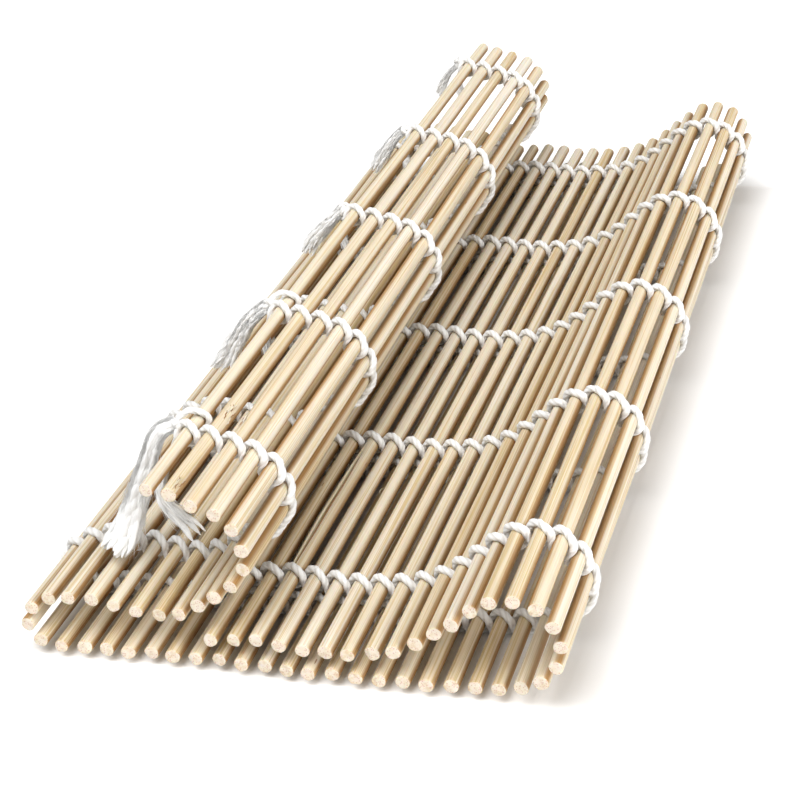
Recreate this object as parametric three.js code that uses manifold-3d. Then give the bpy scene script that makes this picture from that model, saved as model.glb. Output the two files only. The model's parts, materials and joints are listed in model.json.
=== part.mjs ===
import * as THREE from "three";
import { mergeVertices } from "three/addons/utils/BufferGeometryUtils.js";
import Module from "manifold-3d";

// Slats: round split-bamboo rods that lie side by side
const SLAT_DIAMETER = 2.6;
const SLAT_LENGTH = 236;
const SLAT_PITCH = 4;
const SLAT_SIDES = 8;
const END_STAGGER = 0.6;
const STAGGER_TURN_SHARE = 0.382;
const STAGGER_SHARE = 0.5;

// Strings: each is one cotton strand that goes out along the mat and comes back
const STRING_COUNT = 5;
const NEAR_INSET = 20.8;
const FAR_INSET = 16;
const STRAND_WIDTH = 0.6;
const STRAND_THICKNESS = 0.5;
const STRAND_CLEARANCE = 0.3;
const WRAP_LENGTH = 2;
const WRAP_SLANT = 0.5;
const WRAP_SPACING = 0.55;
const CROSSING_OFFSET = 0.65;
const LOWER_STRING_SHIFT = 2;
const TAIL_LENGTH = 21;
const TAIL_SPREAD = 1.2;

// Bridges: flat blocks beside the strings that hold slats in pairs and carry the mat
const BRIDGE_WIDTH = 1.4;
const BRIDGE_OFFSET = 0.9;
const BRIDGE_DROP = 1.1;
const PAIR_COUNT = 6;

// The mat's path seen from its near end, from the rolled edge to the other edge.
// Each run has equal bends in degrees between its slats, and a positive bend turns left.
// Its near ends stand back by a share of END_STAGGER, and its strings run beside
// their line by a share of LOWER_STRING_SHIFT.
const RUNS = [
  { name: "edge", gaps: 2, bend: -2, nearShare: 1.7, stringShare: 0 },
  { name: "crown_in", gaps: 1, bend: -12, nearShare: 0.6, stringShare: 0 },
  { name: "crown", gaps: 4, bend: -28, nearShare: 0.3, stringShare: 0 },
  { name: "back", gaps: 2, bend: -3.5, nearShare: 0, stringShare: 0 },
  { name: "valley", gaps: 3, bend: -15.5, nearShare: 1, stringShare: 0 },
  { name: "ease", gaps: 2, bend: 1, nearShare: 1, stringShare: 0 },
  { name: "shoulder", gaps: 2, bend: 16.5, nearShare: 0.7, stringShare: 0 },
  { name: "fold_in", gaps: 1, bend: 17.5, nearShare: 0.7, stringShare: 0 },
  { name: "fold", gaps: 2, bend: 61, nearShare: 0.5, stringShare: 0 },
  { name: "fold_out", gaps: 1, bend: 17.5, nearShare: -0.7, stringShare: 0 },
  { name: "under_roll", gaps: 3, bend: 0, nearShare: -0.5, stringShare: 0.35 },
  { name: "under_valley", gaps: 3, bend: 0, nearShare: 0.2, stringShare: 0.7 },
  { name: "under_tail", gaps: 4, bend: 0, nearShare: 0.3, stringShare: 1 },
  { name: "under_settle", gaps: 4, bend: 0, nearShare: -0.6, stringShare: 1 },
  { name: "under_sag", gaps: 2, bend: 0, nearShare: -0.3, stringShare: 0.7 },
  { name: "under_flank", gaps: 2, bend: 0, nearShare: 0, stringShare: 0.4 },
  { name: "rise", gaps: 2, bend: 10, nearShare: 0.8, stringShare: 0.2 },
  { name: "hump_in", gaps: 1, bend: 18, nearShare: -0.4, stringShare: 0 },
  { name: "hump", gaps: 6, bend: 27.5, nearShare: -0.9, stringShare: 0 },
  { name: "hump_out", gaps: 1, bend: 20, nearShare: -1.1, stringShare: 0 },
  { name: "flank", gaps: 2, bend: -2, nearShare: -0.8, stringShare: 0 },
  { name: "sag", gaps: 3, bend: -9.5, nearShare: -0.2, stringShare: 0 },
  { name: "settle", gaps: 4, bend: -4.5, nearShare: -0.3, stringShare: 0 },
  { name: "tail", gaps: 3, bend: 6.5, nearShare: 0.3, stringShare: 0 },
];

// The first slat of this run lies level, and the slats after it are held in pairs
const LEVEL_RUN = "under_tail";

// The two ends of a strand hang from the first slat, one outside the roll and one
// inside it. Their points are shares of TAIL_LENGTH from that slat's centre, across and up.
const OUTER_TAIL_SHARES = [
  [-0.4, -0.83],
  [-0.33, -0.6],
  [-0.27, -0.36],
  [-0.21, -0.12],
  [-0.15, 0.05],
];
const INNER_TAIL_SHARES = [
  [-0.08, -0.14],
  [-0.06, -0.23],
  [0.01, -0.33],
  [0.09, -0.42],
];

// Colours
const BAMBOO_PALE = new THREE.Color(0xe2d5b4);
const BAMBOO_WARM = new THREE.Color(0xd3bd8c);
const BAMBOO_ROUGHNESS = 0.72;
const COTTON = 0xeeebe4;
const COTTON_ROUGHNESS = 0.95;

const slatRadius = SLAT_DIAMETER / 2;
const wrapRadius = slatRadius + STRAND_CLEARANCE + STRAND_THICKNESS / 2;
const stringSpacing = (SLAT_LENGTH - NEAR_INSET - FAR_INSET) / (STRING_COUNT - 1);

// The run of each gap, and slats counted from 0
const runs = RUNS.flatMap((run) => Array.from({ length: run.gaps }, () => run));
const levelSlat = runs.findIndex((run) => run.name === LEVEL_RUN);
const firstPaired = levelSlat + 1;
const lastPaired = levelSlat + 2 * PAIR_COUNT;

// The slats' places, each with the run that it belongs to
function layOutSlats() {
  const bends = runs.map((run) => THREE.MathUtils.degToRad(run.bend));
  const headings = new Array(runs.length + 1).fill(0);
  for (let i = levelSlat; i < bends.length; i += 1) {
    headings[i + 1] = headings[i] + bends[i];
  }
  for (let i = levelSlat; i > 0; i -= 1) {
    headings[i - 1] = headings[i] - bends[i - 1];
  }
  const centre = new THREE.Vector2();
  return headings.map((heading, i) => {
    const along = new THREE.Vector2(Math.cos(heading), Math.sin(heading));
    if (i > 0) {
      centre.addScaledVector(along, SLAT_PITCH / 2);
    }
    const slat = {
      centre: centre.clone(),
      heading,
      along,
      left: new THREE.Vector2(-along.y, along.x),
      run: runs[Math.min(i, runs.length - 1)],
      bendBefore: i > 0 ? bends[i - 1] : 0,
      bendAfter: i < bends.length ? bends[i] : 0,
    };
    centre.addScaledVector(along, SLAT_PITCH / 2);
    return slat;
  });
}

// A slat's two ends: no two are cut quite alike
function slatEnds(slat, i) {
  const turn = 2 * Math.PI * STAGGER_TURN_SHARE * i;
  const near = END_STAGGER * (slat.run.nearShare + STAGGER_SHARE * Math.sin(turn));
  const far = SLAT_LENGTH + END_STAGGER * STAGGER_SHARE * Math.cos(turn);
  return { near, far };
}

function slatGeometry(slat, i) {
  const { near, far } = slatEnds(slat, i);
  return new THREE.CylinderGeometry(slatRadius, slatRadius, far - near, SLAT_SIDES);
}

function placeSlat(object, slat, i) {
  const { near, far } = slatEnds(slat, i);
  object.position.set(slat.centre.x, (near + far) / 2, slat.centre.y);
  object.rotation.y = -slat.heading;
  return object;
}

function bamboo(i) {
  const tone = (1 + Math.sin(2 * Math.PI * STAGGER_TURN_SHARE * i)) / 2;
  return new THREE.MeshStandardMaterial({
    color: BAMBOO_PALE.clone().lerp(BAMBOO_WARM, tone),
    roughness: BAMBOO_ROUGHNESS,
    metalness: 0,
  });
}

function nodeNumber(i) {
  return String(i + 1).padStart(2, "0");
}

function singleSlat(slat, i) {
  const mesh = new THREE.Mesh(slatGeometry(slat, i), bamboo(i));
  mesh.name = `slat_${nodeNumber(i)}`;
  return placeSlat(mesh, slat, i);
}

// Joining and cutting
const wasm = await Module();
wasm.setup();

function solidFrom(geometry) {
  const bare = geometry.clone();
  bare.deleteAttribute("normal");
  bare.deleteAttribute("uv");
  const merged = mergeVertices(bare);
  return new wasm.Manifold(
    new wasm.Mesh({
      numProp: 3,
      vertProperties: merged.attributes.position.array,
      triVerts: new Uint32Array(merged.index.array),
    }),
  );
}

function geometryFrom(solid) {
  const { vertProperties, triVerts } = solid.getMesh();
  const geometry = new THREE.BufferGeometry();
  geometry.setAttribute("position", new THREE.BufferAttribute(vertProperties, 3));
  geometry.setIndex(new THREE.BufferAttribute(triVerts, 1));
  const facets = geometry.toNonIndexed();
  facets.computeVertexNormals();
  return facets;
}

function bridgeGeometry(first, second, number) {
  const depth = slatRadius + BRIDGE_DROP;
  const box = new THREE.BoxGeometry(SLAT_PITCH, BRIDGE_WIDTH, depth);
  const across = (first.centre.x + second.centre.x) / 2;
  const along = stringLine(number) + BRIDGE_OFFSET;
  return box.translate(across, along, first.centre.y - depth / 2);
}

// Two neighbouring slats of the lower layer with bridges beside every second string
function slatPair(slats, i) {
  const solids = [i, i + 1].map((k) => {
    const placed = placeSlat(new THREE.Object3D(), slats[k], k);
    placed.updateMatrix();
    return solidFrom(slatGeometry(slats[k], k).applyMatrix4(placed.matrix));
  });
  for (let number = 0; number < STRING_COUNT; number += 2) {
    solids.push(solidFrom(bridgeGeometry(slats[i], slats[i + 1], number)));
  }
  const joined = solids.reduce((sum, solid) => sum.add(solid));
  const mesh = new THREE.Mesh(geometryFrom(joined), bamboo(i));
  mesh.name = `slats_${nodeNumber(i)}_${nodeNumber(i + 1)}`;
  return mesh;
}

function stringLine(number) {
  return NEAR_INSET + stringSpacing * number;
}

// How far a wrap's shoulder stands from the middle of its slat: inside a sharp bend
// it draws back, so that the wraps of both slats keep their spacing.
function shoulderReach(bendInside) {
  const half = Math.max(bendInside, 0) / 2;
  const kept = (WRAP_SPACING / 2 + wrapRadius * Math.sin(half)) / Math.cos(half);
  return Math.min(WRAP_LENGTH / 2, SLAT_PITCH / 2 - kept);
}

function strandPoint(slat, forward, up, lateral) {
  const place = slat.centre
    .clone()
    .addScaledVector(slat.along, forward)
    .addScaledVector(slat.left, up);
  const line = LOWER_STRING_SHIFT * slat.run.stringShare;
  return new THREE.Vector3(place.x, lateral - line, place.y);
}

// One wrap over a slat, on its left side (1) or its right side (-1)
function wrap(slat, side) {
  const back = shoulderReach(side * slat.bendBefore);
  const front = shoulderReach(side * slat.bendAfter);
  return [
    strandPoint(slat, -back, side * wrapRadius, side * WRAP_SLANT),
    strandPoint(slat, front, side * wrapRadius, -side * WRAP_SLANT),
  ];
}

// Where the strand that leaves a slat's given side goes through the next gap
function crossing(slat, next, side) {
  const here = strandPoint(slat, SLAT_PITCH / 2, 0, -side * CROSSING_OFFSET);
  const there = strandPoint(next, -SLAT_PITCH / 2, 0, -side * CROSSING_OFFSET);
  return here.add(there).multiplyScalar(1 / 2);
}

function strandAlong(slats, firstSide) {
  return slats.flatMap((slat, i) => {
    const side = i % 2 === 0 ? firstSide : -firstSide;
    const points = wrap(slat, side);
    if (i + 1 < slats.length) {
      points.push(crossing(slat, slats[i + 1], side));
    }
    return points;
  });
}

function tail(slat, shares, lateral) {
  return shares.map(
    ([across, up]) =>
      new THREE.Vector3(
        slat.centre.x + TAIL_LENGTH * across,
        lateral,
        slat.centre.y + TAIL_LENGTH * up,
      ),
  );
}

// The whole string's centre line, about its own line on the mat
function stringRoute(slats) {
  const first = slats[0];
  const last = slats[slats.length - 1];
  return [
    ...tail(first, OUTER_TAIL_SHARES, TAIL_SPREAD),
    ...strandAlong(slats, 1),
    strandPoint(last, wrapRadius, 0, 0),
    ...strandAlong(slats, -1).reverse(),
    ...tail(first, INNER_TAIL_SHARES, -TAIL_SPREAD),
  ];
}

// A four-sided tube along the route, wider across the mat than through it
function tubeGeometry(route) {
  const across = new THREE.Vector3(0, 1, 0);
  const positions = [];
  route.forEach((point, i) => {
    const before = route[Math.max(i - 1, 0)];
    const after = route[Math.min(i + 1, route.length - 1)];
    const into = point.clone().sub(before).normalize();
    const out = after.clone().sub(point).normalize();
    const tangent = into.add(out).normalize();
    const wide = across.clone().addScaledVector(tangent, -across.dot(tangent)).normalize();
    const thick = new THREE.Vector3().crossVectors(tangent, wide);
    wide.multiplyScalar(STRAND_WIDTH / 2);
    thick.multiplyScalar(STRAND_THICKNESS / 2);
    for (const corner of [wide, thick, wide.clone().negate(), thick.clone().negate()]) {
      positions.push(...point.clone().add(corner).toArray());
    }
  });
  const index = [0, 2, 1, 0, 3, 2];
  for (let ring = 0; ring + 1 < route.length; ring += 1) {
    for (let corner = 0; corner < 4; corner += 1) {
      const a = 4 * ring + corner;
      const b = 4 * ring + ((corner + 1) % 4);
      index.push(a, b, b + 4, a, b + 4, a + 4);
    }
  }
  const end = 4 * (route.length - 1);
  index.push(end, end + 1, end + 2, end, end + 2, end + 3);
  const geometry = new THREE.BufferGeometry();
  geometry.setAttribute("position", new THREE.Float32BufferAttribute(positions, 3));
  geometry.setIndex(index);
  const facets = geometry.toNonIndexed();
  facets.computeVertexNormals();
  return facets;
}

// The least distance between stretches of a route that aren't neighbours, less the strand's width
function leastGapToItself(route) {
  const step = STRAND_THICKNESS / 2;
  const apart = 3 * STRAND_WIDTH;
  const samples = [];
  let walked = 0;
  for (let i = 0; i + 1 < route.length; i += 1) {
    const span = route[i].distanceTo(route[i + 1]);
    const count = Math.ceil(span / step);
    for (let k = 0; k < count; k += 1) {
      const point = route[i].clone().lerp(route[i + 1], k / count);
      samples.push({ point, at: walked + (span * k) / count });
    }
    walked += span;
  }
  let least = Infinity;
  for (let i = 0; i < samples.length; i += 1) {
    for (let k = samples.length - 1; samples[k].at - samples[i].at > apart; k -= 1) {
      least = Math.min(least, samples[i].point.distanceToSquared(samples[k].point));
    }
  }
  return Math.sqrt(least) - STRAND_WIDTH;
}

function string(route, number) {
  const material = new THREE.MeshStandardMaterial({
    color: COTTON,
    roughness: COTTON_ROUGHNESS,
    metalness: 0,
  });
  const mesh = new THREE.Mesh(tubeGeometry(route), material);
  mesh.name = `string_${number + 1}`;
  mesh.position.y = stringLine(number);
  return mesh;
}

function buildMat() {
  const slats = layOutSlats();
  const mat = new THREE.Group();
  slats.forEach((slat, i) => {
    if (i < firstPaired || i > lastPaired) {
      mat.add(singleSlat(slat, i));
    } else if ((i - firstPaired) % 2 === 0) {
      mat.add(slatPair(slats, i));
    }
  });
  const route = stringRoute(slats);
  for (let number = 0; number < STRING_COUNT; number += 1) {
    mat.add(string(route, number));
  }
  const gap = leastGapToItself(route);
  console.log(`each string's least gap to itself is ${gap.toFixed(2)} mm`);
  return mat;
}

// The origin is under the middle of the mat, on the table
function standOnOrigin(mat) {
  mat.updateMatrixWorld(true);
  const box = new THREE.Box3().setFromObject(mat, true);
  const middle = box.getCenter(new THREE.Vector3());
  mat.position.set(-middle.x, -middle.y, -box.min.z);
  return new THREE.Group().add(mat);
}

export default standOnOrigin(buildMat());
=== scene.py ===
import json
import logging
import math
import random
from dataclasses import dataclass, field
from enum import Enum

import bmesh
import bpy
import numpy as np
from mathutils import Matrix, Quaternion, Vector, noise


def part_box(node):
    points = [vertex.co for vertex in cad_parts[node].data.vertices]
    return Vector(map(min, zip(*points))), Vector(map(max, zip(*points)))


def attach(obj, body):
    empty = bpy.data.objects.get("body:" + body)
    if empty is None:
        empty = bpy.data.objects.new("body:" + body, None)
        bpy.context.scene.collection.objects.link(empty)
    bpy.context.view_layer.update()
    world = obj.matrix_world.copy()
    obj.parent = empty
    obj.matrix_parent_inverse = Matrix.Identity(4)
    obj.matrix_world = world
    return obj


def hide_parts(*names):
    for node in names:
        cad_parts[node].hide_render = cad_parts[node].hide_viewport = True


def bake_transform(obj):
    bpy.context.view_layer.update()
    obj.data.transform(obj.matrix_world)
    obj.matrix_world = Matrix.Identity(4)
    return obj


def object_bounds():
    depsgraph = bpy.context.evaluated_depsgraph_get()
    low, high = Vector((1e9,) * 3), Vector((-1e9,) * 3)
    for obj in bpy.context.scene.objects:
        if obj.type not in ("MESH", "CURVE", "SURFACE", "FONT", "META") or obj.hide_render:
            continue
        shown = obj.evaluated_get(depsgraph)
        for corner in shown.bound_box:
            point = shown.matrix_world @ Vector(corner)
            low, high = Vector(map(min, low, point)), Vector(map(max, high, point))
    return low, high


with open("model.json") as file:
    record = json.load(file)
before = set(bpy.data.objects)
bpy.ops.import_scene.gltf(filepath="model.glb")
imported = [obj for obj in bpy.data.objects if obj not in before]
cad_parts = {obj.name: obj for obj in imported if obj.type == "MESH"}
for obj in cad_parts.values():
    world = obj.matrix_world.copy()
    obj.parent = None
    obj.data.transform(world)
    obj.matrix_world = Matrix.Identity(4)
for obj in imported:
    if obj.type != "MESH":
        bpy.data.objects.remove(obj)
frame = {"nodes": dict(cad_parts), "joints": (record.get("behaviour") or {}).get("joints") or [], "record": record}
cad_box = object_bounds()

LOG = logging.getLogger("rolling_mat")
MM = 0.001
FULL_TURN = 2 * math.pi
WHITE = (1.0, 1.0, 1.0, 1.0)
FLUFF_SHADE = (0.85, 0.85, 0.84, 1.0)
Colour = tuple[float, float, float, float]
Place = tuple[float, float, float]


def eased(share: np.ndarray) -> np.ndarray:
    """Eases a share in and out.

    Args:
        share: Shares of a way, of any value.

    Returns:
        The shares held between 0 and 1, with a soft start and end.
    """
    held = np.clip(share, 0.0, 1.0)
    return held * held * (3 - 2 * held)


def read_points(mesh: bpy.types.Mesh) -> np.ndarray:
    """Reads the places of a mesh's vertices as rows of three numbers."""
    points = np.zeros(len(mesh.vertices) * 3)
    mesh.vertices.foreach_get("co", points)
    return points.reshape(-1, 3)


def write_points(mesh: bpy.types.Mesh, points: np.ndarray) -> None:
    """Moves a mesh's vertices to the given rows of three numbers."""
    mesh.vertices.foreach_set("co", np.ascontiguousarray(points, dtype=np.float32).ravel())
    mesh.update()


def read_value(mesh: bpy.types.Mesh, name: str) -> np.ndarray:
    """Reads one number for each vertex from a named attribute."""
    values = np.zeros(len(mesh.vertices))
    mesh.attributes[name].data.foreach_get("value", values)
    return values


def write_value(mesh: bpy.types.Mesh, name: str, values: np.ndarray) -> None:
    """Keeps one number for each vertex under a name."""
    kept = mesh.attributes.get(name) or mesh.attributes.new(name, "FLOAT", "POINT")
    kept.data.foreach_set("value", np.ascontiguousarray(values, dtype=np.float32))


def write_vector(mesh: bpy.types.Mesh, name: str, values: np.ndarray) -> None:
    """Keeps one vector for each vertex under a name."""
    kept = mesh.attributes.get(name) or mesh.attributes.new(name, "FLOAT_VECTOR", "POINT")
    kept.data.foreach_set("vector", np.ascontiguousarray(values, dtype=np.float32).ravel())


def copies_of(mesh: bpy.types.Mesh, count: int, name: str) -> bpy.types.Mesh:
    """Puts several copies of a mesh into one.

    Args:
        mesh: The mesh that is copied.
        count: How many copies the new mesh holds.
        name: The new mesh's name.

    Returns:
        A mesh that holds the copies one after another, all in the same place.
    """
    bm = bmesh.new()
    for _ in range(count):
        bm.from_mesh(mesh)
    joined = bpy.data.meshes.new(name)
    bm.to_mesh(joined)
    bm.free()
    return joined


def finished_piece(name: str, mesh: bpy.types.Mesh, finish: bpy.types.Material) -> bpy.types.Object:
    """Makes a shown piece from a finished mesh.

    Args:
        name: The piece's name.
        mesh: The mesh, already in its place.
        finish: The piece's material.

    Returns:
        The new object, at the origin.
    """
    mesh.name = name
    mesh.materials.clear()
    mesh.materials.append(finish)
    piece = bpy.data.objects.new(name, mesh)
    bpy.context.scene.collection.objects.link(piece)
    LOG.info("%s: %d faces", name, len(mesh.polygons))
    return piece


@dataclass(frozen=True)
class SlatPlace:
    """Where one slat lies: its axis, its direction along the mat and its two ends."""

    number: int
    node: str
    body: str
    centre: Vector
    along: Vector
    near: float
    far: float

    @property
    def left(self) -> Vector:
        """The direction out of the mat on its left side."""
        return Vector((-self.along.z, 0.0, self.along.x))


@dataclass
class MatPath:
    """The mat's course from the rolled edge to the other edge, as the frame holds it."""

    slat_count: int = 61
    diameter: float = 2.6 * MM
    pitch: float = 4.0 * MM
    slats: list[SlatPlace] = field(default_factory=list)

    def read(self) -> None:
        """Reads each slat's place from the frame."""
        hinges = {}
        for joint in frame["joints"]:
            _, before, after = joint["name"].split("_")
            hinges[int(before), int(after)] = Vector((joint["pos_m"][0], 0.0, joint["pos_m"][2]))
        bodies = frame["record"]["behaviour"]["bodies"]
        body_of = {node: body for body, nodes in bodies.items() for node in nodes}
        for node in sorted(name for name in frame["nodes"] if name.startswith("slat")):
            numbers = [int(part) for part in node.split("_")[1:]]
            for number, centre in zip(numbers, self.centres(node, len(numbers))):
                along = self.direction(centre, hinges, number)
                near, far = self.ends(node, centre)
                self.slats.append(SlatPlace(number, node, body_of[node], centre, along, near, far))
        self.slats.sort(key=lambda slat: slat.number)
        LOG.info("the mat has %d slats", len(self.slats))

    def centres(self, node: str, count: int) -> list[Vector]:
        """Finds the axes of a node's slats.

        Args:
            node: A node that holds one slat, or two that lie level.
            count: How many slats it holds.

        Returns:
            The points where the axes cross the mat's middle plane.
        """
        low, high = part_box(node)
        if count == 1:
            return [Vector(((low.x + high.x) / 2, 0.0, (low.z + high.z) / 2))]
        radius = self.diameter / 2
        height = high.z - radius
        return [Vector((low.x + radius, 0.0, height)), Vector((high.x - radius, 0.0, height))]

    def direction(self, centre: Vector, hinges: dict[tuple[int, int], Vector], number: int) -> Vector:
        """Finds a slat's direction along the mat from the hinges beside it."""
        behind = hinges.get((number - 1, number), centre)
        ahead = hinges.get((number, number + 1), centre)
        if behind == ahead:
            return Vector((1.0, 0.0, 0.0))
        return (ahead - behind).normalized()

    def ends(self, node: str, centre: Vector) -> tuple[float, float]:
        """Finds how far a slat reaches at its near and its far end."""
        across = [point.co.y for point in frame["nodes"][node].data.vertices
                  if abs(point.co.x - centre.x) < self.diameter / 2 + 0.1 * MM]
        return min(across), max(across)

    def bend_after(self, number: int) -> float:
        """Gives the mat's turn in the gap after a slat, in radians, positive to the left."""
        here, there = self.slats[number - 1], self.slats[number]
        return math.atan2(here.along.x * there.along.z - here.along.z * there.along.x,
                          here.along.dot(there.along))


class NodeSheet:
    """Adds nodes to a material or a group and joins them."""

    def __init__(self, tree: bpy.types.NodeTree) -> None:
        """Starts on an empty tree."""
        self.tree = tree
        self.tree.nodes.clear()
        self.column = 0

    def add(self, kind: str, inputs: dict | None = None, **settings) -> bpy.types.Node:
        """Adds a node to the right of the last one.

        Args:
            kind: The node's type.
            inputs: Values or other nodes' outputs for its inputs, by name or number.
            settings: The node's own options.

        Returns:
            The new node.
        """
        node = self.tree.nodes.new(kind)
        node.location = (220 * self.column, 0)
        self.column += 1
        for name, value in settings.items():
            setattr(node, name, value)
        for key, value in (inputs or {}).items():
            if isinstance(value, bpy.types.NodeSocket):
                self.tree.links.new(value, node.inputs[key])
            else:
                node.inputs[key].default_value = value
        return node

    def mixed(self, share: bpy.types.NodeSocket, first: object, second: object) -> bpy.types.NodeSocket:
        """Mixes two colours by a share."""
        node = self.add("ShaderNodeMix", data_type="RGBA")
        for socket, value in zip((node.inputs[0], node.inputs[6], node.inputs[7]), (share, first, second)):
            if isinstance(value, bpy.types.NodeSocket):
                self.tree.links.new(value, socket)
            else:
                socket.default_value = value
        return node.outputs[2]

    def maths(self, operation: str, first: object, second: object) -> bpy.types.NodeSocket:
        """Works out a sum of two values."""
        return self.add("ShaderNodeMath", {0: first, 1: second}, operation=operation).outputs[0]

    def effect(self, group: bpy.types.ShaderNodeTree, place: bpy.types.NodeSocket, stretch: Place,
               numbers: dict[str, float]) -> bpy.types.NodeSocket:
        """Places a shared effect with its own values.

        Args:
            group: The effect's group.
            place: The place that it reads.
            stretch: How fine it is in each direction.
            numbers: Its number inputs.

        Returns:
            The effect's mask.
        """
        node = self.add("ShaderNodeGroup", node_tree=group)
        self.tree.links.new(place, node.inputs["Place"])
        node.inputs["Stretch"].default_value = stretch
        for name, value in numbers.items():
            node.inputs[name].default_value = value
        return node.outputs["Mask"]

    def seen(self) -> bpy.types.NodeSocket:
        """Gives 1 for the rays that look at a surface, directly or in a reflection, and 0 for the others."""
        paths = self.add("ShaderNodeLightPath")
        looks = self.maths("MAXIMUM", paths.outputs["Is Camera Ray"], paths.outputs["Is Glossy Ray"])
        return self.maths("MAXIMUM", looks, paths.outputs["Is Transmission Ray"])


class GroupName(Enum):
    """The shared effects."""

    STREAKS = "lengthwise_streaks"
    SPECKS = "specks"


def mask_group(title: GroupName, numbers: dict[str, float]) -> tuple[NodeSheet, bpy.types.Node,
                                                                     bpy.types.NodeSocket]:
    """Starts a shared effect that turns a stretched place into a mask.

    Args:
        title: The effect's name.
        numbers: Its number inputs, with the values that they start from.

    Returns:
        The group's nodes, its input node and the stretched place.
    """
    group = bpy.data.node_groups.new(title.value, "ShaderNodeTree")
    sheet = NodeSheet(group)
    group.interface.new_socket("Place", in_out="INPUT", socket_type="NodeSocketVector")
    stretch = group.interface.new_socket("Stretch", in_out="INPUT", socket_type="NodeSocketVector")
    stretch.default_value = (1.0, 1.0, 1.0)
    for name, value in numbers.items():
        socket = group.interface.new_socket(name, in_out="INPUT", socket_type="NodeSocketFloat")
        socket.default_value = value
    group.interface.new_socket("Mask", in_out="OUTPUT", socket_type="NodeSocketFloat")
    given = sheet.add("NodeGroupInput")
    drawn = sheet.add("ShaderNodeVectorMath", {0: given.outputs["Place"], 1: given.outputs["Stretch"]},
                      operation="MULTIPLY")
    return sheet, given, drawn.outputs[0]


def streak_group() -> bpy.types.ShaderNodeTree:
    """Builds the streaks that bamboo and cotton share: noise drawn out in one direction.

    Returns:
        A group that takes a place and gives a mask.
    """
    sheet, given, drawn = mask_group(GroupName.STREAKS, {"Detail": 2.0, "Low": 0.3, "High": 0.7})
    grain = sheet.add("ShaderNodeTexNoise", {"Vector": drawn, "Scale": 1.0, "Roughness": 0.6,
                                             "Detail": given.outputs["Detail"]})
    mask = sheet.add("ShaderNodeMapRange", {0: grain.outputs[0], 1: given.outputs["Low"],
                                            2: given.outputs["High"]}, interpolation_type="SMOOTHSTEP")
    sheet.add("NodeGroupOutput", {"Mask": mask.outputs[0]})
    return sheet.tree


def speck_group() -> bpy.types.ShaderNodeTree:
    """Builds small specks: pores in a cut end, flecks on a slat's side.

    Returns:
        A group that takes a place and gives a mask.
    """
    sheet, given, drawn = mask_group(GroupName.SPECKS, {"Size": 0.2, "Share": 0.5})
    cells = sheet.add("ShaderNodeTexVoronoi", {"Vector": drawn, "Scale": 1.0})
    inside = sheet.maths("LESS_THAN", cells.outputs["Distance"], given.outputs["Size"])
    pick = sheet.add("ShaderNodeSeparateColor", {0: cells.outputs["Color"]})
    chosen = sheet.maths("LESS_THAN", pick.outputs[0], given.outputs["Share"])
    mask = sheet.maths("MULTIPLY", inside, chosen)
    sheet.add("NodeGroupOutput", {"Mask": mask})
    return sheet.tree


@dataclass(frozen=True)
class Streaks:
    """One run of streaks on a slat: how many to a metre, and which part of the noise shows."""

    across: float
    along: float
    low: float
    high: float
    detail: float

    @property
    def numbers(self) -> dict[str, float]:
        """The number inputs of the streaks' group."""
        return {"Detail": self.detail, "Low": self.low, "High": self.high}


@dataclass(frozen=True)
class Specks:
    """One kind of speck on a slat: how many to a metre, how big each is and which share shows."""

    across: float
    along: float
    size: float
    share: float

    @property
    def numbers(self) -> dict[str, float]:
        """The number inputs of the specks' group."""
        return {"Size": self.size, "Share": self.share}


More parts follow.
